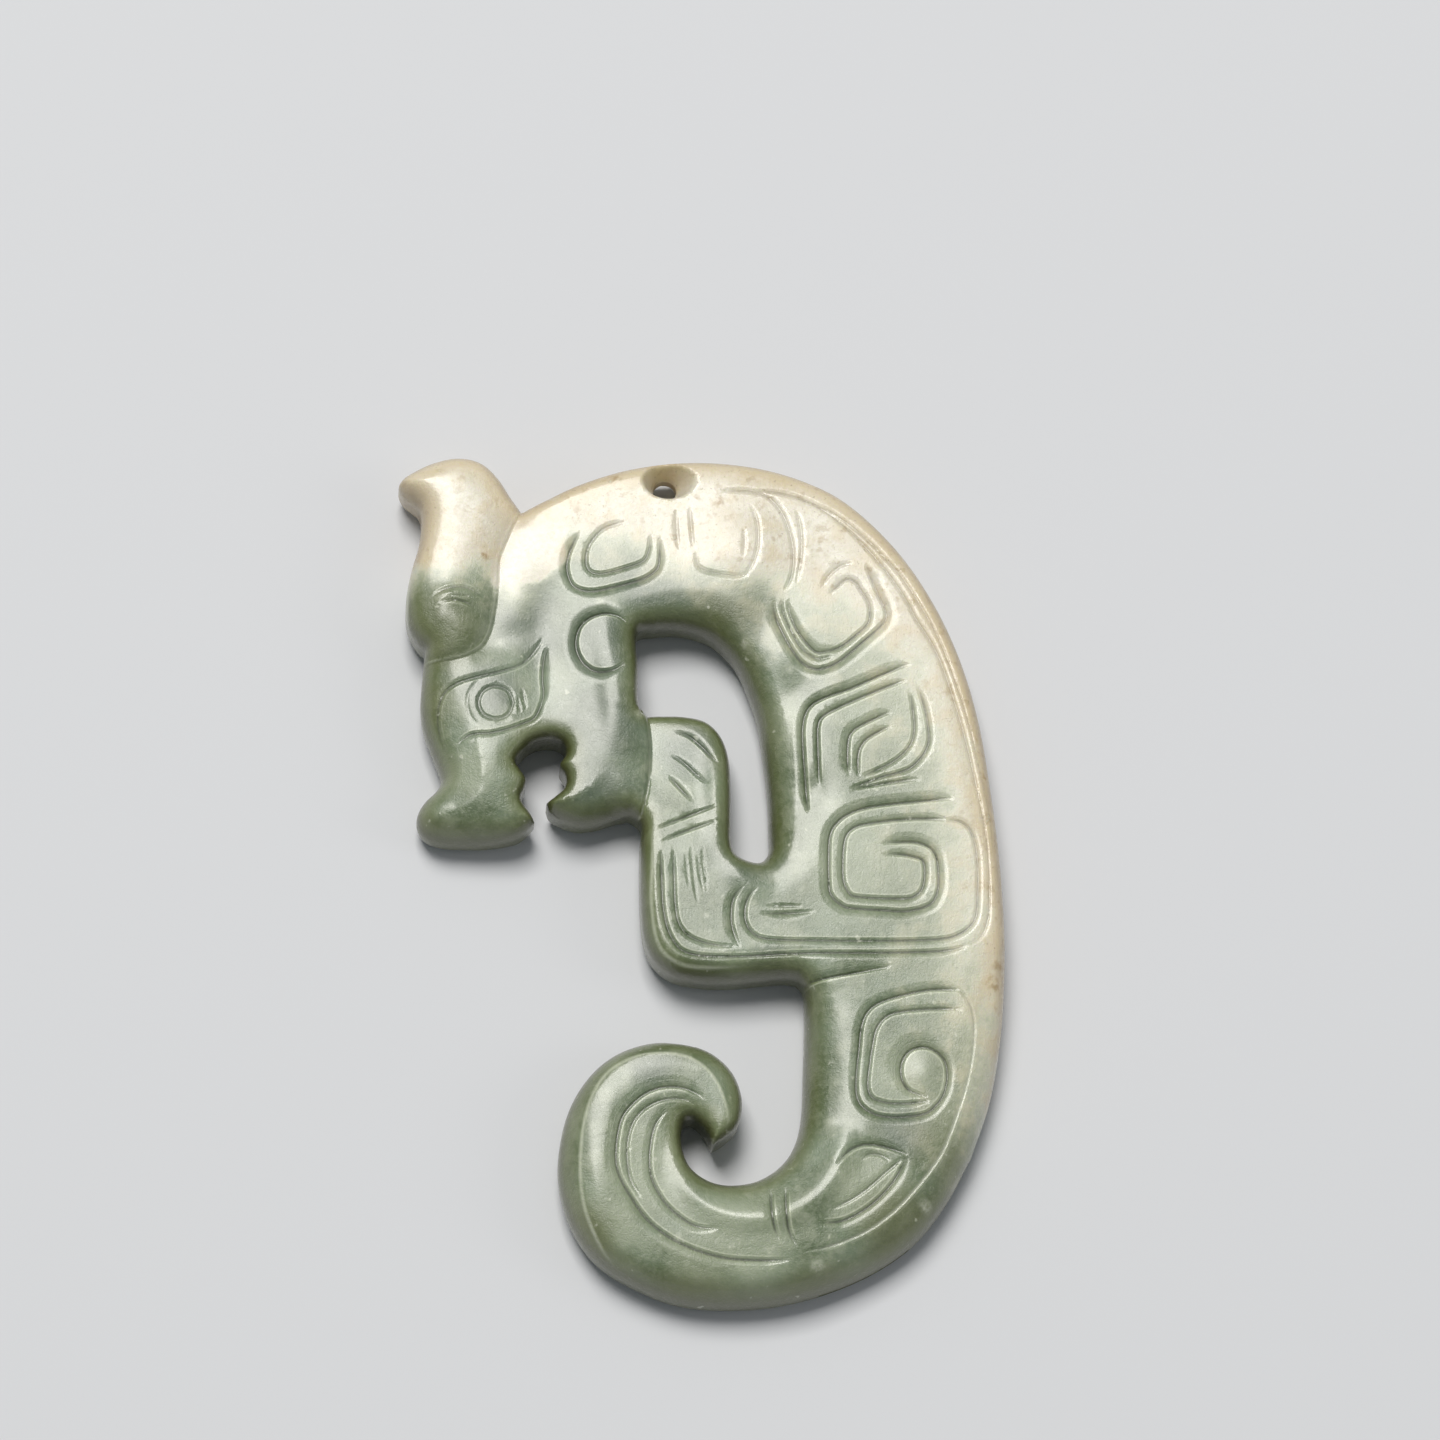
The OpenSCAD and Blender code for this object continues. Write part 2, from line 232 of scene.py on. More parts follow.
# The steps of the face: the horn's border, drawn in millimetres, and the jaw's edge, in pixels
horn_border = [
    (-17.2, 18.0), (-18.0, 16.5), (-18.6, 15.0), (-19.2, 13.3), (-19.3, 11.0), (-19.5, 9.0),
    (-19.9, 6.9), (-20.6, 5.5), (-21.8, 4.7), (-23.4, 4.3), (-25.6, 4.2), (-30.0, 4.2)]
jaw_line = [(646.5, 705), (650.5, 730), (651.5, 751), (649.5, 785), (645, 803), (641, 815)]

# Each cut: its facet's side (1 left, -1 right of its run), the facet's width, the depth, the length
# over which its ends fade, and the run of its line
cuts = {
    # the head
    "horn lid, upper": (-1, 0.4, 0.13, 1.2, [
        (433, 597), (445, 590.5), (458, 588), (470, 590), (481, 597)]),
    "horn lid, middle": (1, 0.3, 0.09, 1.2, [(444, 599), (459, 596.5), (475, 599)]),
    "horn lid, lower": (1, 0.5, 0.14, 1.0, [(440, 603), (455, 602), (466, 604), (475, 608)]),
    "brow": (-1, 0.5, 0.14, 2.0, [
        (543, 636), (532, 653), (518.6, 664), (499.5, 670.6), (482, 675), (465, 679.6),
        (453.6, 684), (444, 692), (439, 705), (438, 720), (441, 735), (447, 750)]),
    "behind the eye": (1, 0.75, 0.24, 2.0, [
        (547, 645), (543.5, 660), (542.5, 677), (543.5, 694), (539, 709)]),
    "lower lid": (1, 0.45, 0.18, 1.2, [
        (543.5, 694), (540.6, 705), (534, 717), (522, 722.6), (507, 728), (490, 732), (472.7, 733),
        (463, 738), (458, 744)]),
    "eye, ring": (-1, 0.22, 0.10, 0.0, [
        (513.3, 701.8), (508.2, 690), (495.8, 685.3), (483.4, 690), (478.3, 701.8), (483.4, 713.8),
        (495.8, 718.5), (508.2, 713.8), (513.3, 701.8)]),
    "eye, ground": (1, 0.6, 0.04, 1.5, [
        (488, 674), (476, 682), (468.5, 693), (467.5, 706), (472, 718), (483, 727)]),
    "eye corner, near": (-1, 0.25, 0.09, 0.8, [(521, 687), (524, 697), (525.5, 709)]),
    "eye corner, far": (-1, 0.25, 0.08, 0.8, [(517, 696), (519, 704), (520, 713)]),
    "ear": (-1, 1.05, 0.38, 2.2, [
        (627, 623), (620, 616.5), (611, 613.5), (603, 613), (590, 617), (580, 626), (576, 640),
        (578, 652), (584, 662.5), (593.5, 669.5), (604.5, 671.5), (615, 669.5), (625, 663)]),
    "crown scroll, inner": (1, 0.4, 0.15, 1.2, [
        (650, 535), (650, 542.4), (648, 553), (642, 561), (620.7, 568.4), (603, 572.7),
        (592.5, 571.7), (587, 566), (586, 557.6), (588, 547), (595, 536), (606, 527), (625, 521)]),
    "crown scroll, outer": (1, 0.75, 0.26, 1.6, [
        (660, 538), (659.7, 555), (657.6, 567), (646.7, 576), (631.6, 581.4), (614, 585.8),
        (595, 589.7), (581.7, 588.4), (573, 583.6), (568.7, 575), (567, 563), (571, 548),
        (579, 532)]),
    # the crown of the back, where the altered skin has softened the cuts
    "crown band, left": (-1, 0.4, 0.10, 1.5, [(676, 508), (677, 530), (679, 550)]),
    "crown band, right": (1, 0.4, 0.10, 1.5, [(690, 506), (691, 527), (693.5, 547)]),
    "crown hook, outer": (1, 0.5, 0.13, 1.5, [
        (722, 490), (751, 492), (768, 497), (781, 511), (789, 530), (793, 551), (792, 572),
        (785.5, 590)]),
    "crown hook, middle": (1, 0.4, 0.10, 1.5, [
        (752, 505), (757, 522), (758, 540), (756, 553), (751, 566), (744, 577)]),
    "crown hook, inner": (-1, 0.35, 0.08, 1.0, [(744, 528), (745, 543), (743, 557)]),
    "crown hook, foot": (-1, 0.4, 0.10, 1.2, [
        (695, 552), (699, 566), (711.8, 571.7), (733.5, 575), (750, 575)]),
    "crown hook, right": (1, 0.4, 0.10, 1.5, [(797, 510), (801, 531.5), (801, 553), (796.5, 583)]),
    "border, inner": (1, 0.5, 0.15, 3.0, [
        (748, 490), (784, 494), (815, 505), (840, 522), (864, 545), (888, 573), (905, 598),
        (917, 620), (930, 640), (941, 662), (950, 688), (959, 716), (967, 745), (974, 775),
        (981, 806), (986, 835), (989, 866), (989.5, 895), (988, 918), (981, 936), (967, 946)]),
    "border, outer": (1, 0.5, 0.13, 3.0, [
        (798.5, 497), (831, 512), (863.6, 536), (885, 557.6), (903, 578), (920, 604), (936, 632),
        (949, 662), (960, 693), (970, 726), (977, 756), (985, 791), (991, 824), (994, 862)]),
    # the three scrolls of the back, from the shoulder down
    "shoulder scroll, outer": (-1, 0.9, 0.3, 1.6, [
        (773.6, 601), (774.7, 611.8), (781, 627), (789.8, 644), (800.7, 659.5), (813.7, 667),
        (826.7, 666), (841.9, 658.4), (863.6, 640), (878.7, 627), (886, 618), (885, 607.4),
        (878.7, 594.4), (872, 579), (866, 564)]),
    "shoulder scroll, middle": (-1, 0.3, 0.15, 1.2, [
        (781, 600), (783.5, 612), (790, 627), (800, 645), (811, 655), (820, 658), (833, 655.5)]),
    "shoulder scroll, inner": (1, 0.8, 0.28, 2.0, [
        (787.7, 600), (789.8, 611.8), (796, 627), (805, 640), (815.9, 650.8), (826, 651),
        (839.7, 646.5)]),
    "shoulder scroll, hook": (-1, 0.45, 0.20, 1.2, [
        (821, 651.5), (839.7, 646.5), (857, 633.5), (868, 622.6), (870, 611.8), (868, 601),
        (861, 590), (855, 581), (846, 579), (837.5, 585.8), (830, 592)]),
    "shoulder scroll, top": (1, 0.4, 0.13, 1.0, [
        (822, 585), (828.9, 575), (839.7, 566), (852, 562)]),
    "diamond, outer": (-1, 0.75, 0.31, 1.8, [
        (909, 663), (882, 673.7), (852, 687), (829, 695), (814, 702), (807, 710), (804, 720),
        (803, 732), (804, 754), (806, 779), (808, 811)]),
    "diamond, inner": (-1, 0.45, 0.22, 1.4, [
        (905, 679.5), (882, 688), (858, 698), (838, 707), (823, 715.5), (818.5, 724), (818, 738),
        (818.5, 754), (819.5, 783)]),
    "diamond, right": (1, 0.4, 0.17, 1.2, [
        (911, 693), (913, 709), (914.5, 726), (913, 738), (909, 746), (902, 754), (891, 762),
        (878, 768.6), (864, 775)]),
    "diamond, far right": (1, 0.5, 0.20, 1.4, [
        (919, 688), (926, 712), (929, 734), (927.5, 746), (921, 757), (911, 766.5), (899, 771.5),
        (882, 776), (868, 781), (851, 788)]),
    "diamond, foot": (1, 0.4, 0.17, 1.4, [(852, 788.5), (880, 783.5), (918, 778)]),
    "diamond wedge, outer": (-1, 0.7, 0.28, 1.2, [
        (890, 711), (868, 721), (855, 728.5), (849.5, 736), (848, 750), (848, 773)]),
    "diamond wedge, inner": (-1, 0.45, 0.23, 1.0, [
        (889, 725.5), (870, 736), (862, 744), (858.5, 754), (858, 775)]),
    "square scroll, outer": (-1, 0.8, 0.3, 1.6, [
        (952, 797.5), (923, 800), (893, 803), (866, 807), (848, 813.5), (835.5, 824), (830, 836),
        (829, 854), (829, 875), (831, 893), (842, 904), (852, 907), (882, 909), (907, 910),
        (927, 905), (935.5, 897), (939, 881), (937.5, 860), (933.5, 850), (925, 844), (911, 841),
        (885, 842)]),
    "square scroll, inner": (-1, 0.5, 0.21, 1.4, [
        (947, 818.6), (919, 818), (893, 819.6), (870, 822.7), (856, 826), (847, 834), (844, 846),
        (843, 864.5), (844, 881), (850, 893), (858, 896), (882, 897.5), (907, 897.5), (917, 894),
        (923, 886), (925, 870.6), (923, 860), (917, 857), (903, 854), (886, 853)]),
    "round scroll, outer": (-1, 0.7, 0.28, 1.6, [
        (960, 989), (931, 989), (902, 994.6), (878.5, 1002.5), (866.8, 1012.8), (861.5, 1027.5),
        (859.5, 1048), (857, 1071.5), (856.5, 1089), (859.5, 1100.8), (868, 1109.6), (881.5, 1115),
        (902, 1116), (925.5, 1112.5), (937, 1103.7), (944.5, 1092), (947.5, 1074.4),
        (944.5, 1059.7), (934, 1049.5), (921, 1046.5), (909, 1051), (902, 1062.7), (902, 1077),
        (909, 1089), (927, 1097)]),
    "round scroll, inner": (-1, 0.45, 0.19, 1.4, [
        (961, 1008.4), (931, 1008.4), (902, 1011), (887, 1015.7), (877, 1027.5), (872.7, 1045),
        (869.7, 1065.6), (868, 1083), (871, 1095), (881.5, 1100.8), (902, 1102.9), (930, 1100.5)]),
    # the foreleg and the panel that runs on from it
    "foreleg leaf, top": (1, 0.6, 0.18, 1.6, [
        (677, 726), (691, 732.5), (703, 743), (711, 752.5), (721, 762)]),
    "foreleg leaf, middle": (1, 0.45, 0.14, 1.4, [
        (674, 751), (686.6, 761), (698, 772.6), (708, 781)]),
    "foreleg leaf, foot": (1, 0.5, 0.18, 1.0, [(670, 773), (678, 783), (686, 792), (693, 798)]),
    "ankle, upper": (1, 0.3, 0.22, 2.6, [(657, 826.5), (688, 814.5), (719, 802.5)]),
    "ankle, lower": (1, 0.3, 0.19, 2.6, [(662, 839.5), (690, 828.5), (719, 818)]),
    "hair, first": (-1, 0.2, 0.03, 1.4, [(684.5, 852), (687, 870), (689, 888)]),
    "hair, second": (-1, 0.25, 0.045, 1.6, [(690.5, 846), (693, 868), (697, 902)]),
    "hair, third": (-1, 0.2, 0.03, 1.4, [(697, 854), (700, 872), (703.5, 892)]),
    "hair, fourth": (-1, 0.2, 0.035, 1.4, [(702, 847), (704, 868), (706.5, 892)]),
    "panel, outer": (-1, 0.5, 0.21, 2.0, [
        (660.7, 850), (661.9, 878.8), (663, 902.4), (666.6, 923.6), (673.7, 940), (683, 949.6),
        (698, 954), (724, 955.5), (752.7, 954.7), (783, 953), (818.8, 952), (866, 952),
        (913, 951.4), (945, 949.8), (967, 946)]),
    "panel, inner": (-1, 0.4, 0.16, 2.0, [
        (673, 848), (674.4, 878.8), (675.3, 902.4), (678.4, 921), (686.6, 933), (700.8, 940.6),
        (719.7, 944.8), (736, 946)]),
    "panel, top": (-1, 0.45, 0.19, 1.6, [
        (756, 886.5), (748, 897.6), (745, 911.8), (746.8, 923.6), (752.7, 931.9), (762, 937),
        (781, 939), (818.8, 939.6), (866, 940), (913, 939.6), (943.8, 937.8), (960, 933),
        (972, 923.6), (976.9, 911.8), (978, 890.6), (978, 867), (975.7, 845.7), (969.8, 829),
        (960, 821), (946, 818.6)]),
    "elbow": (-1, 0.7, 0.22, 1.8, [
        (743, 884), (733.8, 897.6), (731.5, 911.8), (732, 923.6), (735, 935), (739, 946)]),
    "lens, upper": (1, 0.25, 0.12, 2.0, [(765, 904.5), (783, 905), (802, 905)]),
    "round scroll, boss": (1, 1.3, 0.34, 2.4, [
        (909, 1089), (902, 1077), (902, 1062.7), (909, 1051), (921, 1046.5), (934, 1049.5),
        (944.5, 1059.7)]),
    "square scroll, crescent": (1, 0.8, 0.28, 2.0, [
        (885, 842), (911, 841), (925, 844), (933.5, 850), (938, 862)]),
    "lens, lower": (-1, 0.65, 0.24, 2.6, [(761, 913), (786, 912.5), (813, 911.5)]),
    "long border": (-1, 0.3, 0.13, 2.5, [
        (949, 985), (960, 998), (967, 1014), (969, 1031), (967, 1056), (961, 1084), (951, 1115),
        (938, 1147), (918, 1176), (892, 1204), (864, 1225), (829, 1239), (800, 1244)]),
    "belly wedge": (1, 1.1, 0.42, 3.5, [
        (748, 987), (775, 984.5), (805, 980), (845, 973.5), (890, 966)]),
    # the tail
    "leaf, top": (1, 0.6, 0.22, 1.6, [
        (835, 1165), (849, 1150.7), (861, 1144.8), (872.7, 1144), (890, 1147.7), (908, 1154.5)]),
    "leaf, vein": (-1, 0.35, 0.13, 1.4, [
        (907, 1155), (887, 1171), (867, 1188.8), (849, 1200.5), (830, 1208.5)]),
    "leaf, foot": (1, 0.85, 0.28, 1.8, [
        (908, 1155.5), (896, 1177), (881.5, 1194.7), (864, 1209), (843, 1219.6), (818, 1223)]),
    "leaf, bud": (1, 0.3, 0.11, 0.8, [(860, 1159), (870, 1153.6), (881.5, 1155), (890, 1160)]),
    "tail tie, left": (-1, 0.7, 0.24, 1.6, [
        (771.5, 1188), (771.5, 1209), (774.4, 1227), (780, 1241)]),
    "tail tie, right": (-1, 0.7, 0.24, 1.6, [(786, 1187), (786, 1209), (789, 1229.9), (797, 1246)]),
    "tail ridge": (1, 0.9, 0.28, 2.0, [
        (791, 1259), (761, 1259), (732, 1257.7), (708.4, 1253), (685, 1244.5), (664, 1232.8),
        (646.8, 1218), (632, 1197.6), (620.4, 1177), (616, 1159.5), (617.5, 1136), (623, 1115.5),
        (635, 1100.8), (649.7, 1090.5), (667, 1086), (685, 1087.6), (704, 1097)]),
    "tail ridge, second": (1, 0.45, 0.15, 2.0, [
        (640, 1196), (631, 1180), (627.5, 1162), (627.5, 1142), (633.6, 1121), (646.8, 1106.7),
        (664.4, 1099), (682, 1098), (698, 1104)]),
    "tail ridge, inner": (1, 0.6, 0.20, 2.0, [
        (719, 1228.6), (696.7, 1225.5), (679, 1215), (664, 1200.5), (652.7, 1180), (649.7, 1162.4),
        (651, 1142), (655.6, 1124), (666, 1109)]),
}
wall_width = 0.16

# Arrises, from which the face falls away on one side: that side, the width and the drop of the
# fall, the length over which the ends fade, and the run. Each is given a painted highlight.
arrises = {
    "horn, left": (-1, 0.4, 0.16, 2.5, [
        (417, 505), (417, 518), (413, 540), (411, 560), (408, 585), (407, 605), (407, 625),
        (410, 645), (420, 660)]),
    "tail rim": (-1, 1.2, 0.36, 4.0, [
        (726, 1135), (728, 1115.5), (723, 1095), (714, 1077), (699.6, 1062.7), (682, 1054.5),
        (661.5, 1052.4), (638, 1055), (617.5, 1064), (602.8, 1077), (591, 1098), (583.7, 1124),
        (580.8, 1150.7), (580.8, 1180), (585, 1206.4), (594, 1229.9), (605.7, 1250.4),
        (621, 1266)]),
    "foreleg front": (-1, 1.0, 0.30, 4.0, [
        (652, 822), (652.4, 855), (651.5, 890.6), (652.8, 914), (657, 938), (666.4, 953),
        (684, 963), (712.6, 966), (750, 964)]),
    "long border": (1, 1.5, 0.45, 8.0, [
        (955, 985), (966, 997), (972.5, 1012), (974.5, 1030), (972.4, 1056.8), (966.5, 1086),
        (956, 1118), (943, 1150.7), (922.5, 1180), (896, 1209), (867, 1230), (831.6, 1244.5),
        (803, 1250)]),
}
# How far from its arris the fallen side still reaches
arris_reach = 6.5
# Soft ridges: the widths of the slopes on the left and right of the run, the rise, the length over
# which the ends fade, and the run
ridges = {
    "cheek": (5.2, 3.0, 0.40, 7.0, [
        (598, 590), (606, 630), (612, 665), (617, 705), (618, 735), (616, 775)]),
    "foreleg": (2.2, 1.8, 0.30, 5.0, [
        (708, 735), (717, 770), (719, 810), (728, 845), (745, 878), (775, 890)]),
    "tail": (3.2, 2.0, 0.42, 4.0, [
        (848, 1120), (838, 1165), (815, 1198), (778, 1216), (738, 1216), (704, 1200), (684, 1172),
        (680, 1140), (688, 1115)][::-1]),
}

# Soft hollows and swellings of the face: where, half width across and up, in millimetres, and rise
swells = [
    (545, 640, 2.8, 6.5, -0.45), (500, 640, 2.2, 1.6, -0.15), (448, 630, 2.6, 4.0, 0.40),
    (457, 597, 1.7, 0.9, 0.22), (440, 490, 3.0, 3.0, 0.1), (575, 655, 2.2, 3.0, 0.15),
    (497, 702, 2.6, 1.8, 0.06), (485, 790, 2.4, 4.0, 0.25), (800, 690, 1.6, 2.6, -0.25),
    (765, 620, 1.8, 2.6, -0.2), (816, 792, 1.2, 1.6, -0.2), (765, 1195, 3.5, 3.0, 0.2),
    (600, 1180, 1.8, 7.0, 0.2), (740, 545, 4.0, 3.0, 0.25), (925, 1075, 1.6, 1.7, 0.12),
    (860, 1185, 2.4, 1.6, 0.12)]
# The cord hole: its middle, the radius of its waist, and the oval that its bowl opens to
hole_at = placed((-4.8, 20.6))
waist_r = 1.0
bowl_at = on_face([(669, 480.5)], 6.0)[0]
bowl_across, bowl_up, bowl_deep = 2.35, 1.72, 2.9
# The height of the face, how far the horn stands above it, and how far the snout's end and the
# foreleg's upper end lie below it
top_z, horn_rise, snout_drop, foreleg_drop = 6.18, 0.45, 1.0, 1.2
# At the horn's border: the groove on the horn, the hollow of the cheek and the edge between them
horn_groove, cheek_hollow, border_edge = 0.30, 0.42, 0.16
# The rounding of the jaw's edge, and the depth and width of the soft shoulder behind it
jaw_round, jaw_shoulder, jaw_wide = 0.7, 0.5, 3.0
# How many times as deep as in its table a cut is, and how far apart the points of a line are
cut_deeper = 1.35
line_step = 0.26
drawn_lines = {**cuts, **arrises, **ridges}
lines = {name: curve(on_face(form[-1]), line_step) for name, form in drawn_lines.items()}
border = placed(curve(horn_border, 0.3))
jaw = on_face(curve(jaw_line, 3))


def along(points, line, reach, fade):
    """The points within reach of a line, their distance to its left, and how far the line's ends
    have faded there: 1 along it, falling to 0 over the last stretch."""
    near_box = (points > line.min(0) - reach) & (points < line.max(0) + reach)
    inside = np.flatnonzero(near_box.all(1))
    far, place, hand = nearest(points[inside], line)
    inside, far, place, hand = (v[far < reach] for v in (inside, far, place, hand))
    if not fade:
        return inside, far * hand, np.ones(len(inside))
    end = np.minimum(place, len(line) - 1 - place) * line_step
    return inside, far * hand, np.clip(end / fade, 0, 1)**0.7


def carve(points):
    """The cuts at each point: their depth, the distance across the facet, how strong the painted
    shade along their lines is, and how strong the painted highlight on the edges beside them is.
    At a distance v from a line, a cut is as deep as its line times a share: on the facet's side
    half of it is the gentle facet, (1 - v / w) to the power of 1.5, w being its width, and half the
    fine groove at its foot, e to the power of -v / 0.13; on the other side it is 1 - v / wall. Both
    die away at the line's ends. Where cuts meet, the deeper one counts."""
    depth, across, line_shade_near, highlight_near = np.zeros((4, len(points)))
    for name, (side, wide, deep, fade, run) in cuts.items():
        inside, v, ends = along(points, lines[name], wide + 0.1, fade)
        v = v * side
        facet = np.clip(1 - v / (wide * np.maximum(ends, 0.05)), 0, 1)
        facet = 0.5 * facet**1.5 + 0.5 * np.exp(-np.maximum(v, 0) / 0.13) * (facet > 0)
        here = cut_deeper * deep * ends * np.where(v >= 0, facet, np.clip(1 + v / wall_width, 0, 1))
        across[inside] = np.where(here > depth[inside], v, across[inside])
        depth[inside] = np.maximum(depth[inside], here)
        strong = ends * min(1, deep / 0.2)
        # painted shade along the foot of the line, and painted highlight on the edge beside it
        line_shade = strong * np.clip(1 - np.abs(v - 0.02) / 0.16, 0, 1)
        crest_highlight = strong * np.clip(1 - np.abs(v + 0.30) / 0.15, 0, 1)
        line_shade_near[inside] = np.maximum(line_shade_near[inside], line_shade)
        highlight_near[inside] = np.maximum(highlight_near[inside], crest_highlight)
    return depth, across, line_shade_near, highlight_near


def from_hole_middle(points):
    """The distance of each point from the middle of the cord hole."""
    return np.hypot(*(points - hole_at).T)


def bowl_depth(points):
    """Depth of the bowl of the cord hole, a cone from its waist up to an oval whose middle lies
    aside of it: the depth falls evenly from the waist's circle to the oval along each ray from the
    waist's middle, with faint rings left by the drill."""
    scale = np.array([bowl_across, bowl_up])
    u, c = (points - hole_at) / scale, (hole_at - bowl_at) / scale
    a, b = np.maximum((u**2).sum(1), 1e-9), 2 * (u * c).sum(1)
    share = 2 * a / (np.sqrt(b**2 - 4 * a * ((c**2).sum() - 1)) - b)
    waist = share * waist_r / np.maximum(from_hole_middle(points), 1e-6)
    t = np.clip((1 - share) / np.maximum(1 - waist, 0.04), 0, 1)
    return bowl_deep * t**1.2 + 0.035 * np.sin(26 * t) * (t > 0) * (t < 1)


def face_height(points):
    """Height of the carved face at each point, and its marks: the slab's top, less the slopes of
    the snout and the foreleg, plus the raised horn, the swellings and the ridges (each a bell
    curve), less the fall beside each arris, which is even as far as its width and level from there
    on, less the shoulder, which is its depth times (1 - d / width) squared at d from the edge,
    less the rim, which is a quarter of an ellipse, less the bowl of the cord hole and less the
    cuts. The marks are the cuts' depth, the place across them, the painted shade along their lines,
    the painted highlight on crests, arrises, the horn's border and the jaw's edge, and how near
    the edge is."""
    x, y = points[:, 0], points[:, 1]
    z = np.full(len(points), top_z)
    # the horn above its border, the cheek below it and the raised edge between them
    border_far, place, side = nearest(points, border)
    on_horn = side * border_far * -1
    raised = horn_rise * (1 - np.exp(-on_horn / 1.6)) - horn_groove * np.exp(-on_horn / 0.6)
    z += np.where(on_horn < 0, -cheek_hollow * np.exp(on_horn / 1.5), raised)
    z += border_edge * np.clip(1 - np.abs(on_horn) / 0.2, 0, 1)
    # the snout, lower towards its end
    snout = placed((-15.0, -3.0))
    z -= np.where(x < snout[0], snout_drop * np.clip((snout[1] - y) / 8.4, 0, 1.1)**1.5, 0)
    # the foreleg beside the jaw, sunk more towards its upper end and close to the jaw
    jaw_far, place, side = nearest(points, jaw)
    low, high = placed((-7.6, -12.8)), placed((2.4, 0.9))
    beside = (x > low[0]) & (x < high[0]) & (y > low[1]) & (y < high[1]) & (side > 0)
    rise = np.clip((y - low[1]) / 13.0, 0, 1)
    sunk = foreleg_drop * rise * (3 - 2 * rise) * rise + 0.4 * rise * np.exp(-jaw_far / 2.2)
    z -= np.where(beside, sunk, 0)
    # the jaw, its edge rounded over by a quarter of a circle
    low, high = placed((-11, -9.5)), placed((-11, 0.2))
    head = (side < 0) & (x > low[0]) & (y > low[1]) & (y < high[1])
    rounded = jaw_round - np.sqrt(jaw_round**2 - np.clip(jaw_round - jaw_far, 0, None)**2)
    z -= np.where(head, rounded + jaw_shoulder * np.clip(1 - jaw_far / jaw_wide, 0, 1)**2, 0)
    # the swellings, the ridges and the falls beside the arrises, with painted highlights along the
    # horn's border, the jaw's edge and each arris
    for px, py, across, up, rise in swells:
        c = on_face([(px, py)])[0]
        z += rise * np.exp(-((x - c[0]) / across)**2 - ((y - c[1]) / up)**2)
    # painted highlight along the horn's border and the jaw's edge
    painted_highlight = np.clip(1 - np.abs(on_horn) / 0.16, 0, 1)
    painted_highlight = np.maximum(painted_highlight, np.clip(1 - np.abs(jaw_far - 0.1) / 0.14, 0, 1) * head)
    for name, (left, right, rise, fade, run) in ridges.items():
        inside, v, ends = along(points, lines[name], 1.4 * max(left, right), fade)
        z[inside] += rise * step(0, 1, ends) * np.exp(-(v / np.where(v > 0, left, right) * 1.9)**2)
    for name, (side, wide, drop, fade, run) in arrises.items():
        inside, v, ends = along(points, lines[name], arris_reach, fade)
        z[inside] -= drop * step(0, 1, ends) * np.clip(v * side / wide, 0, 1)
        painted_highlight[inside] = np.maximum(painted_highlight[inside], 1.3 * ends * np.clip(1 - np.abs(v) / 0.26, 0, 1))
    # the shoulder and the rim of the stone, the bowl of the cord hole, and the cuts
    gap, shape = edge_gap(points)
    rim, wide, deep = shape.T
    z -= deep * np.clip(1 - gap / wide, 0, 1)**2
    z -= rim_tall * (rim - np.sqrt(np.clip(rim**2 - np.clip(rim - gap, 0, None)**2, 0, None)))
    z -= bowl_depth(points)
    cut, across, line, cut_highlight = carve(points)
    cut *= step(0.2, 1.2, gap)
    # the cuts' painted highlights join the others
    painted_highlight = np.maximum(painted_highlight, cut_highlight)
    return z - cut, {"cut": cut / 0.4, "across": across, "line": line, "painted_highlight": painted_highlight, "gap": gap}


def edge_gap(points):
    """Each point's distance from the edge of the stone, and the rim's form at the nearest place."""
    far, place, side = nearest(points, outline, True)
    far2, place2, side2 = nearest(points, opening, True)
    form = outline_form[place.astype(int) % len(outline)]
    form2 = opening_form[place2.astype(int) % len(opening)]
    return np.minimum(far, far2), np.where((far < far2)[:, None], form, form2)


def inward(loop, sign):
    """The unit normal at each point of a closed line: its own direction turned by a right angle."""
    ahead = np.roll(loop, -1, 0) - np.roll(loop, 1, 0)
    ahead /= np.linalg.norm(ahead, axis=1)[:, None]
    return sign * np.stack([ahead[:, 1], -ahead[:, 0]], 1)


def within(points, loop):
    """Whether each point is in a closed line: a ray to its right crosses the line an odd number of
    times. The points are taken in batches, to spare memory."""
    a, b = loop, np.roll(loop, -1, 0)
    out = np.empty(len(points), bool)
    for start in range(0, len(points), 4000):
        p = points[start:start + 4000]
        over = (a[None, :, 1] > p[:, None, 1]) != (b[None, :, 1] > p[:, None, 1])
        rise = np.where(b[:, 1] == a[:, 1], 1, b[:, 1] - a[:, 1])
        cross = a[None, :, 0] + (p[:, None, 1] - a[None, :, 1]) * ((b[:, 0] - a[:, 0]) / rise)[None]
        out[start:start + 4000] = ((over & (cross > p[:, None, 0])).sum(1) % 2) == 1
    return out


def in_stone(points):
    """Whether each point lies inside the outline and not in the long opening."""
    return within(points, outline) & ~within(points, opening)


def rows_inside(shares):
    """Rows of points along both edges, each row a share of the rim's radius in from the edge. A
    point that has come nearer to another part of the edge than that share is left out."""
    rows = []
    for loop, form, sign in ((outline, outline_form, 1), (opening, opening_form, -1)):
        normal = inward(loop, sign)
        for share in shares:
            reach = share * form[:, :1]
            p = loop + normal * reach
            gap = edge_gap(p)[0]
            rows.append(p[gap > reach[:, 0] * 0.93])
    return np.concatenate(rows)


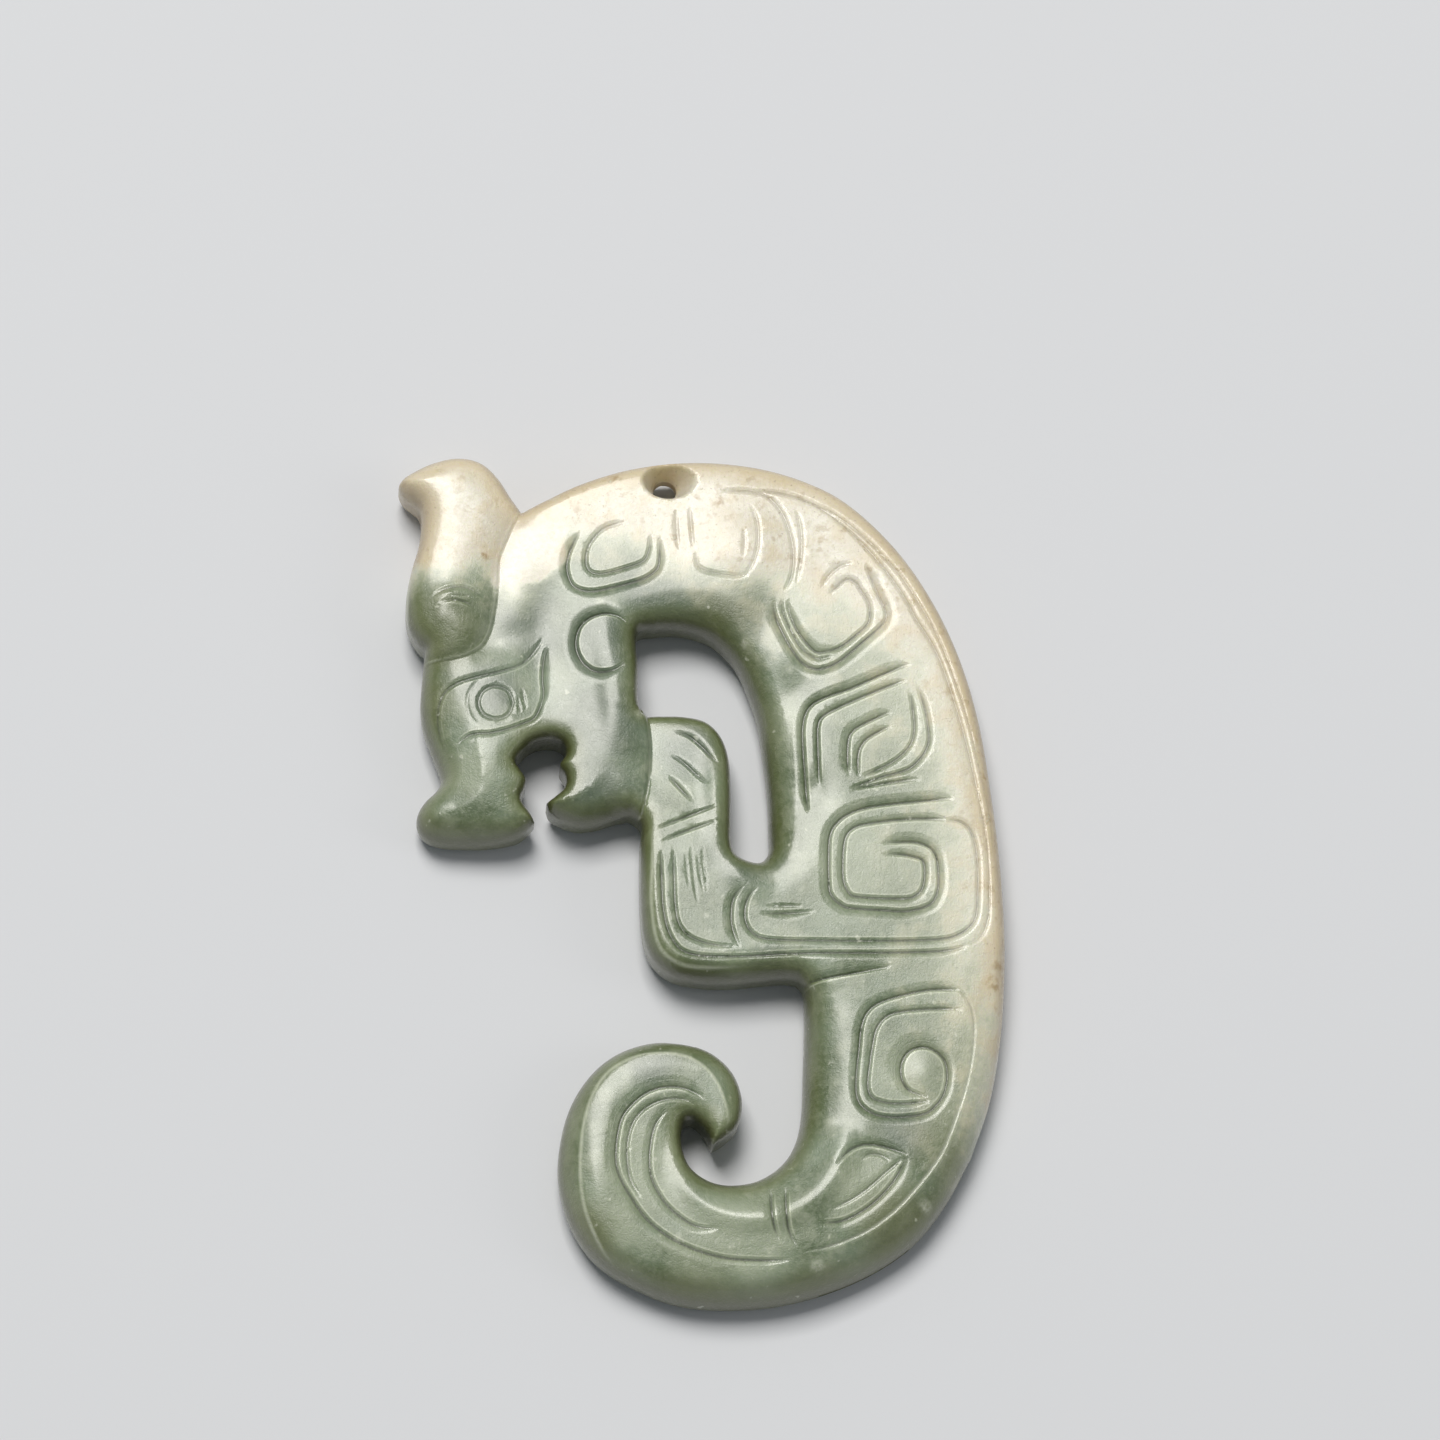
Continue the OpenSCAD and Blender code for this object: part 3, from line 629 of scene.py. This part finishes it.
def thin_out(kept, new, cell):
    """The new points that share no square cell with a kept point or an earlier new one."""
    both = np.floor(np.vstack([kept, new]) / cell).astype(np.int64)
    key = both[:, 0] * 1000003 + both[:, 1]
    first = np.unique(key, return_index=True)[1]
    return new[np.sort(first[first >= len(kept)]) - len(kept)]


def rows_beside(line, offsets):
    """Rows of points beside a line, each at one offset to its left, square to the line's run."""
    ahead = np.gradient(line, axis=0)
    ahead /= np.linalg.norm(ahead, axis=1)[:, None]
    left = np.stack([-ahead[:, 1], ahead[:, 0]], 1)
    return (line[:, None, :] + left[:, None, :] * offsets[None, :, None]).reshape(-1, 2)


def well_inside(points, from_edge, from_hole):
    """The points in the stone that are further than that from its edge and the hole's middle."""
    points = points[in_stone(points)]
    return points[(edge_gap(points)[0] > from_edge) & (from_hole_middle(points) > from_hole)]


turn = np.linspace(0, 2 * np.pi, 49)[:-1]
circle = np.stack([np.cos(turn), np.sin(turn)], 1)
hole = hole_at + waist_r * circle
loops = [outline, opening[::-1], hole]
loop_points = np.concatenate(loops)
starts = np.cumsum([0] + [len(p) for p in loops])
links = np.concatenate([
    np.stack([np.arange(a, b), np.roll(np.arange(a, b), -1)], 1)
    for a, b in zip(starts[:-1], starts[1:])])


def sheet(extra, height):
    """One face of the stone: the loops and the extra points joined in triangles that are as even as
    the points allow, less what lies outside the stone, and the height of each point. The loops'
    points come first."""
    flat = np.vstack([loop_points, extra])
    made = delaunay_2d_cdt(flat.tolist(), links.tolist(), [], 1, 1e-5, True)
    p, tris = np.array(made[0]), np.array(made[2])
    middle_of = p[tris].mean(1)
    free = in_stone(middle_of) & (from_hole_middle(middle_of) > waist_r)
    return p, tris[free], height(p)


def grid(spacing):
    """Points of a triangular grid over the outline, every other row set over by half a step."""
    low, high = outline.min(0), outline.max(0)
    y = np.arange(low[1], high[1], spacing * 0.866)
    x = np.arange(low[0], high[0], spacing)
    px = x[None, :] + spacing / 2 * (np.arange(len(y))[:, None] % 2)
    return np.stack([px.ravel(), np.repeat(y, len(x))], 1)


rim_shares = (0.02, 0.08, 0.18, 0.31, 0.47, 0.66, 0.87, 1.1)
rim_rows = rows_inside(rim_shares)

# Rings round the cord hole, then rows beside the steps, the arrises and the cuts. The rows at the
# two edges of a steep wall are far enough apart that both are kept when the points are thinned.
bowl_rings = np.linspace(1.05, 2.6, 12)
bowl_rows = hole_at + (bowl_rings[:, None, None] * circle[None]).reshape(-1, 2)
step_across = np.array([-0.5, -0.32, -0.19, -0.06, 0.06, 0.19, 0.32, 0.5])
arris_across = np.array([-0.5, -0.25, -0.12, 0.0, 0.12, 0.25, 0.5])
wall_across = np.array([-2.8, -1.9, -1.0, 0.0]) * wall_width
foot_across = np.array([0.1, 0.22])
facet_across = np.array([0.45, 0.7, 1.0, 1.15])
rows = [bowl_rows, rows_beside(border, step_across), rows_beside(jaw, step_across)]
rows += [rows_beside(lines[name], arris_across) for name in arrises]
rows += [
    rows_beside(lines[name], side * np.concatenate([wall_across, foot_across, facet_across * wide]))
    for name, (side, wide, deep, fade, run) in cuts.items()]
features = thin_out(rim_rows, well_inside(np.concatenate(rows), 0.3, 1.04), 0.085)
plain = thin_out(np.vstack([rim_rows, features]), well_inside(grid(0.42), 0.5, 1.1), 0.24)

front_points = np.vstack([rim_rows, features, plain])
front, front_tris, (front_z, front_marks) = sheet(front_points, face_height)

# The back and the walls. The real back isn't shown, so it is finished plainly: flat, with rounded
# edges and the smaller countersink of the cord hole. The walls are sawn square to the face.

back_rim, back_tall = 1.3, 1.7
back_cone_r, back_cone_deep = 1.7, 2.1


def back_height(points):
    """Height of the back: a quarter of an ellipse at the rim, a cone round the hole, or flat."""
    gap = np.minimum(edge_gap(points)[0], back_rim)
    z = back_tall * (1 - np.sqrt(np.clip(1 - (1 - gap / back_rim)**2, 0, None)))
    cone = np.clip((back_cone_r - from_hole_middle(points)) / (back_cone_r - waist_r), 0, 1)
    return np.maximum(z, back_cone_deep * cone)


back_rows = rows_inside((0.02, 0.08, 0.2, 0.38, 0.62, 1.0, 1.4, 1.9))
back_plain = thin_out(back_rows, well_inside(grid(0.9), 1.35, 2), 0.5)
back_bowl = bowl_rows[:len(turn) * 6]
back, back_tris, back_z = sheet(np.vstack([back_rows, back_bowl, back_plain]), back_height)

# The walls: the loops' points at even heights between the face and the back, joined level by level
wall_rows = 7
n_loops = len(loop_points)
fall = np.linspace(0, 1, wall_rows + 1)[1:-1, None]
wall_z = front_z[:n_loops] + (back_z[:n_loops] - front_z[:n_loops]) * fall
wall = np.column_stack([np.tile(loop_points, (len(fall), 1)), wall_z.ravel()])
n_front, n_wall = len(front), len(wall)
verts = np.vstack([np.column_stack([front, front_z]), wall, np.column_stack([back, back_z])]) * mm
on_loops = np.arange(n_loops)
wall_levels = n_front + np.arange(n_wall).reshape(len(fall), -1)
levels = np.vstack([on_loops, wall_levels, n_front + n_wall + on_loops])
a, b = levels[:-1], levels[1:]
quads = np.stack([a, a[:, links[:, 1]], b[:, links[:, 1]], b], 2).reshape(-1, 4)
back_tris = back_tris[:, ::-1] + n_front + n_wall
pendant_mesh = bpy.data.meshes.new("jade_carving")
faces = front_tris.tolist() + quads.tolist() + back_tris.tolist()
pendant_mesh.from_pydata(verts.tolist(), [], faces)
pendant_mesh.polygons.foreach_set("use_smooth", np.ones(len(pendant_mesh.polygons), bool))
pendant = bpy.data.objects.new("jade_carving", pendant_mesh)
bpy.context.scene.collection.objects.link(pendant)
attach(pendant, "root")
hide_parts("dragon_pendant")

# The jade. Grey-green nephrite, waxy and slightly clear, with cloudy mottling and white flecks. The
# top, the back's right edge and the horn's upper half have weathered to an opaque cream, warm at
# the rim. The thin edges are olive. Painted shade darkens the rounded rim and the cuts, painted
# highlights brighten the crests and arrises, some darker spots carry painted shade and some paler
# spots and the veil by the skin carry painted sheen.

# Each part of the skin: how soft its edge is, in millimetres, and its loop
skins = {
    "horn": (0.9, [
        (395, 560), (418, 568), (440, 563), (452, 572), (470, 564), (484, 560), (496, 578),
        (520, 590), (530, 500), (500, 440), (380, 440)]),
    "head": (0.20, [
        (494, 590), (506, 581), (524, 583), (540, 581), (553, 571), (566, 557), (562, 541),
        (571, 527), (562, 505), (540, 490), (505, 500), (490, 560)]),
    "crown": (1.3, [
        (540, 515), (566, 524), (580, 532), (600, 534), (640, 536), (664, 552), (690, 564),
        (720, 570), (752, 576), (790, 582), (830, 590), (880, 620), (1030, 620), (900, 470),
        (700, 430), (560, 470)]),
    "flank": (2.6, [
        (810, 585), (850, 604), (884, 634), (914, 672), (934, 715), (950, 770), (956, 830),
        (963, 880), (966, 930), (971, 970), (980, 1010), (987, 1060), (992, 1110), (1030, 1110),
        (1060, 900), (1000, 600), (900, 500)]),
}

# Chips that show white, and stains of the skin: where, and the radius in millimetres
chips = [
    (500, 641, 0.5), (927, 1203, 0.7), (818, 1263, 0.75), (678, 1237, 0.4), (713, 1139, 0.35),
    (776, 1163, 0.3), (770, 1250, 0.4), (640, 712, 0.5), (643, 655, 0.6), (600, 600, 0.5),
    (745, 640, 0.4), (707, 916, 0.25), (790, 668, 0.5), (560, 775, 0.25)]
stains = [
    (447, 553, 0.9), (484, 556, 0.8), (574, 513, 1.0), (580, 520, 0.6), (695, 497, 0.5),
    (719, 501, 0.9), (727, 490, 0.4), (1001, 965, 0.8), (995, 982, 0.9), (965, 885, 0.5),
    (986, 776, 0.4), (660, 505, 0.4), (806, 522, 0.4), (617, 478, 0.6), (760, 505, 0.5)]
# Where the jade is more olive, with the radius of the tint
olives = [
    (440, 628, 5.5), (425, 700, 3.5), (410, 830, 4.0), (975, 985, 3.0), (972, 1060, 3.5),
    (955, 1140, 5.0), (900, 1225, 5.0), (585, 1235, 3.5), (820, 1300, 5.0), (725, 600, 4.0),
    (690, 1320, 6.0)]
# Where it is painted darker: partly clearer stone, partly painted shade on hollows and slopes
# turned from the light
clears_and_shade = [
    (524, 612, 4.5), (540, 640, 3.2), (740, 606, 4.5), (690, 592, 4.0), (560, 742, 3.6),
    (585, 790, 6.0), (745, 850, 4.5), (770, 965, 2.5), (690, 745, 4.2), (905, 1130, 3.0),
    (650, 1060, 3.0), (700, 975, 3.0), (600, 645, 5.0), (490, 690, 3.5), (655, 590, 4.5),
    (600, 720, 6.0), (700, 590, 4.5)]
# Where it is painted paler: partly cloudier stone, partly painted sheen where the polished face
# catches the light
milks_and_sheen = [
    (640, 1170, 6.5), (740, 1235, 6.5), (880, 705, 6.0), (830, 620, 5.0), (860, 860, 7.0),
    (600, 1225, 5.0), (700, 1265, 4.0), (870, 1190, 5.0), (900, 1070, 4.0), (468, 770, 3.0),
    (785, 720, 3.5)]


def spots(points, table):
    """How near each point is to a spot of a table: 1.4 times the share of the spot's radius that is
    left beyond the point, held between 0 and 1."""
    near = np.zeros(len(points))
    for px, py, radius in table:
        far = np.hypot(*(points - on_face([(px, py)])[0]).T)
        near = np.maximum(near, np.clip(1.4 - 1.4 * far / radius, 0, 1))
    return near


def skin_marks(points):
    """How far inside the weathered skin each point lies, in millimetres, negative outside it, and
    how soft the skin's edge is there. The skin counts in which the point lies deepest."""
    inside, soft = np.full(len(points), -9.0), np.full(len(points), 1.0)
    for softness, loop in skins.values():
        loop = curve(on_face(loop), 0.8, True)
        far = nearest(points, loop, True)[0] * np.where(within(points, loop), 1, -1)
        deeper = far / softness > inside / soft
        inside, soft = np.where(deeper, far, inside), np.where(deeper, softness, soft)
    return np.clip(inside, -9, 9), soft


def mark(name, values):
    """A value for each vertex of the pendant, for the jade to read."""
    layer = pendant_mesh.attributes.new(name, "FLOAT", "POINT")
    layer.data.foreach_set("value", np.asarray(values, np.float32))


skin, skin_soft = skin_marks(verts[:, :2] / mm)
pad = np.zeros(len(verts) - n_front)
mark("skin", skin)
mark("skin_soft", skin_soft)
mark("chip", np.concatenate([spots(front, chips), pad]))
mark("stain", spots(verts[:, :2] / mm, stains))
mark("olive", spots(verts[:, :2] / mm, olives))
mark("clear_and_shade", spots(verts[:, :2] / mm, clears_and_shade))
mark("milk_and_sheen", spots(verts[:, :2] / mm, milks_and_sheen))
back_gap = np.minimum(edge_gap(back)[0], 3)
for name, values in front_marks.items():
    mark(name, np.concatenate([values, pad[:n_wall], back_gap * (name == "gap")]))

jade = bpy.data.materials.new("jade")
jade.use_nodes = True
tree = jade.node_tree
shader = tree.nodes["Principled BSDF"]


def node(kind, links=(), **settings):
    """A shader node with its settings, whose inputs are linked to sockets or set to values."""
    made = tree.nodes.new(kind)
    for key, value in settings.items():
        setattr(made, key, value)
    for key, value in dict(links).items():
        if isinstance(value, bpy.types.NodeSocket):
            tree.links.new(value, made.inputs[key])
        else:
            made.inputs[key].default_value = value
    return made


def read(name):
    """The value that a mark has at the point being shaded."""
    return node("ShaderNodeAttribute", attribute_name=name).outputs["Fac"]


def math(operation, a, b=0.0):
    """Two values put together by one operation, such as their sum or the greater of them."""
    return node("ShaderNodeMath", {0: a, 1: b}, operation=operation).outputs[0]


def ramp(value, low, high, to_low=0.0, to_high=1.0):
    """A value carried smoothly from one range to another."""
    return node("ShaderNodeMapRange", {0: value, 1: low, 2: high, 3: to_low, 4: to_high},
                interpolation_type="SMOOTHSTEP").outputs[0]


def mix(share, a, b):
    """A share of the second colour and the rest of the first."""
    return node("ShaderNodeMix", {0: share, 6: a, 7: b}, data_type="RGBA").outputs[2]


def srgb(text):
    """A colour written in six hexadecimal digits, as the linear values that a shader takes."""
    c = np.array([int(text[k:k + 2], 16) for k in (0, 2, 4)]) / 255
    return tuple(np.where(c <= 0.04045, c / 12.92, ((c + 0.055) / 1.055)**2.4)) + (1.0,)


place = node("ShaderNodeTexCoord").outputs["Object"]


def noise(scale, detail=3.0, rough=0.55, stretch=(1, 1, 1)):
    """Noise whose cells are 1 / scale millimetres, drawn out that many times along the axes."""
    at = node("ShaderNodeMapping", {"Vector": place, "Scale": [1000 * scale / k for k in stretch]})
    return node("ShaderNodeTexNoise", {
        "Vector": at.outputs[0], "Scale": 1.0, "Detail": detail, "Roughness": rough}).outputs["Fac"]


clouds, patches, grain = noise(0.16), noise(0.45, 4), noise(2.2, 4, 0.6)
specks, pores = noise(1.1, 2, 0.5), noise(3.5, 2)
cut, painted_line_shade, gap = read("cut"), read("line"), read("gap")

# the stone under the skin
green = mix(ramp(clouds, 0.35, 0.68), srgb("5d6d4b"), srgb("829178"))
green = mix(ramp(patches, 0.46, 0.66, 0, 0.5), green, srgb("a3ab93"))
green = mix(ramp(grain, 0.42, 0.68, 0, 0.35), green, srgb("a2aa92"))
# paler spots: cloudier stone, and painted sheen
green = mix(ramp(read("milk_and_sheen"), 0.0, 1.0, 0, 0.6), green, srgb("a4ad93"))
# darker spots: clearer stone, and painted shade on hollows and slopes
green = mix(ramp(read("clear_and_shade"), 0.0, 1.0, 0, 0.65), green, srgb("4d5d4a"))
green = mix(ramp(read("olive"), 0.0, 1.0, 0, 0.6), green, srgb("666b3f"))
# olive towards the thin edges, then painted shade darkening the rounded rim
green = mix(ramp(gap, 0.3, 2.2, 0.65, 0.0), green, srgb("6d743f"))
green = mix(ramp(gap, 0.0, 0.7, 0.75, 0.0), green, srgb("4f5028"))

# the skin, whose edge wanders with the noise
by_patches = math("MULTIPLY", math("SUBTRACT", patches, 0.5), 3.2)
by_grain = math("MULTIPLY", math("SUBTRACT", grain, 0.5), 1.4)
wander = math("ADD", by_patches, by_grain)
softness = read("skin_soft")
wander = math("MULTIPLY", wander, math("ADD", math("MULTIPLY", softness, 0.7), 0.25))
depth = math("DIVIDE", math("ADD", read("skin"), wander), softness)
skin_share = ramp(depth, -1.0, 1.0)
cream = mix(ramp(clouds, 0.38, 0.62), srgb("e5e1d1"), srgb("dad2be"))
cream = mix(ramp(grain, 0.44, 0.66, 0, 0.45), cream, srgb("d3ceb4"))
cream = mix(ramp(gap, 0.2, 3.4, 0.75, 0.0), cream, srgb("dbc8a3"))
# painted shade darkening the rounded rim of the cream
cream = mix(ramp(gap, 0.0, 1.1, 0.8, 0.0), cream, srgb("ab9672"))
cream = mix(ramp(patches, 0.50, 0.66, 0, 0.5), cream, srgb("d6c7a3"))
stained = math("MULTIPLY", read("stain"), ramp(specks, 0.40, 0.62, 0, 0.9))
speckled = ramp(softness, 0.4, 1.3)
speckles = math("MULTIPLY", speckled, ramp(specks, 0.58, 0.72, 0, 0.4))
cream = mix(math("MAXIMUM", stained, speckles), cream, srgb("a98f62"))
cream = mix(math("MULTIPLY", speckled, ramp(pores, 0.63, 0.74, 0, 0.45)), cream, srgb("8f7f60"))
# a pale veil towards the skin: partly paler stone by the weathering, partly painted sheen on the
# flats there
veil_and_sheen = mix(ramp(depth, -1.6, 0.9), srgb("adb39a"), srgb("e4e4cf"))
veil_and_sheen = mix(ramp(patches, 0.46, 0.62, 0, 0.5), veil_and_sheen, srgb("c9c3a4"))
colour = mix(ramp(depth, -3.4, 0.0, 0, 0.9), green, veil_and_sheen)
colour = mix(ramp(depth, -0.5, 1.2), colour, cream)

# painted shade in the cuts and along the foot of their lines, and painted highlights on the crests,
# all fainter on the skin
for effect, share_on_skin, tint in [
        (ramp(cut, 0.0, 1.1, 0, 0.2), 0.45, "4c5540"),
        (ramp(painted_line_shade, 0.1, 0.9, 0, 0.65), 0.4, "333a29"),
        (ramp(read("painted_highlight"), 0.1, 1.3, 0, 0.6), 0.25, "d5dac4")]:
    strength = math("MULTIPLY", effect, ramp(skin_share, 0.2, 1.0, 1.0, share_on_skin))
    colour = mix(strength, colour, srgb(tint))
chip = math("MULTIPLY", read("chip"), ramp(pores, 0.30, 0.70, 0.22, 0.6))
colour = mix(math("MAXIMUM", chip, ramp(specks, 0.70, 0.78, 0, 0.5)), colour, srgb("dde0cd"))
tree.links.new(colour, shader.inputs["Base Color"])

gloss = math("ADD", ramp(grain, 0.3, 0.7, 0.36, 0.50), math("MULTIPLY", cut, 0.04))
tree.links.new(math("ADD", gloss, math("MULTIPLY", skin_share, 0.05)), shader.inputs["Roughness"])
shader.inputs["IOR"].default_value = 1.62
shader.inputs["Coat Weight"].default_value = 0.7
shader.inputs["Coat Roughness"].default_value = 0.19
shader.inputs["Subsurface Weight"].default_value = 0.35
shader.inputs["Subsurface Radius"].default_value = (1.0, 1.2, 0.7)
shader.inputs["Subsurface Scale"].default_value = 0.0012
strokes = noise(5.0, 3, 0.6, (1, 14, 1))
relief = math("MULTIPLY", strokes, ramp(patches, 0.42, 0.62, 0.15, 0.7))
for waves, height in [(patches, 1.6), (grain, 1.1), (noise(7.0, 2), 0.9)]:
    relief = math("ADD", relief, math("MULTIPLY", waves, height))
furrows = node("ShaderNodeTexNoise", {
    "W": math("MULTIPLY", read("across"), 9.0), "Scale": 1.0, "Detail": 2.0},
    noise_dimensions="1D").outputs["Fac"]
relief = math("ADD", relief, math("MULTIPLY", furrows, ramp(cut, 0.02, 0.2, 0, 0.9)))
bump = node("ShaderNodeBump", {"Height": relief, "Strength": 0.7, "Distance": 0.00007})
tree.links.new(bump.outputs[0], shader.inputs["Normal"])
pendant_mesh.materials.append(jade)

# The floor, the light and the camera. The pendant lies on a pale floor under soft studio light: a
# large softbox over its upper end, a faint one at its right, and a dim even sky. The floor lies a
# little below the flat back, so that the two faces don't coincide.

floor_mesh = bpy.data.meshes.new("floor")
floor_z = -0.00002
floor_mesh.from_pydata(
    [(-1, -1, floor_z), (1, -1, floor_z), (1, 1, floor_z), (-1, 1, floor_z)], [], [(0, 1, 2, 3)])
floor = bpy.data.objects.new("floor", floor_mesh)
bpy.context.scene.collection.objects.link(floor)
floor_paint = bpy.data.materials.new("floor")
floor_paint.use_nodes = True
floor_shader = floor_paint.node_tree.nodes["Principled BSDF"]
floor_shader.inputs["Base Color"].default_value = (0.70, 0.715, 0.745, 1)
floor_shader.inputs["Roughness"].default_value = 0.7
floor_mesh.materials.append(floor_paint)


def softbox(name, direction, far, size, power):
    """A square area light at a distance in a direction from the pendant's middle, facing it."""
    lamp = bpy.data.lights.new(name, "AREA")
    lamp.shape, lamp.size, lamp.energy, lamp.color = "SQUARE", size, power, (1.0, 0.975, 0.93)
    lamp_object = bpy.data.objects.new(name, lamp)
    direction = Vector(direction).normalized()
    lamp_object.location = direction * far
    lamp_object.rotation_mode = "QUATERNION"
    lamp_object.rotation_quaternion = direction.to_track_quat("Z", "Y")
    bpy.context.scene.collection.objects.link(lamp_object)


softbox("upper softbox", (-0.15, 0.38, 0.91), 2.0, 0.85, 33.0)
softbox("side softbox", (0.9, -0.1, 0.6), 1.0, 0.4, 0.6)
world = bpy.data.worlds.new("studio")
world.use_nodes = True
world.node_tree.nodes["Background"].inputs["Color"].default_value = (0.9, 0.95, 1.0, 1)
world.node_tree.nodes["Background"].inputs["Strength"].default_value = 0.22
bpy.context.scene.world = world
bpy.context.scene.view_settings.view_transform = "Standard"

camera_data = bpy.data.cameras.new("camera")
camera_data.sensor_width = 36
camera_data.lens = 36 * pixels_per_mm * distance / picture
camera_data.clip_start, camera_data.clip_end = 0.01, 10
camera = bpy.data.objects.new("camera", camera_data)
bpy.context.scene.collection.objects.link(camera)
camera.matrix_world = Matrix.Translation(Vector((aim + distance * toward) * mm)) @ Matrix(
    [[rightward[k], upward[k], toward[k]] for k in range(3)]).to_4x4()
bpy.context.scene.camera = camera
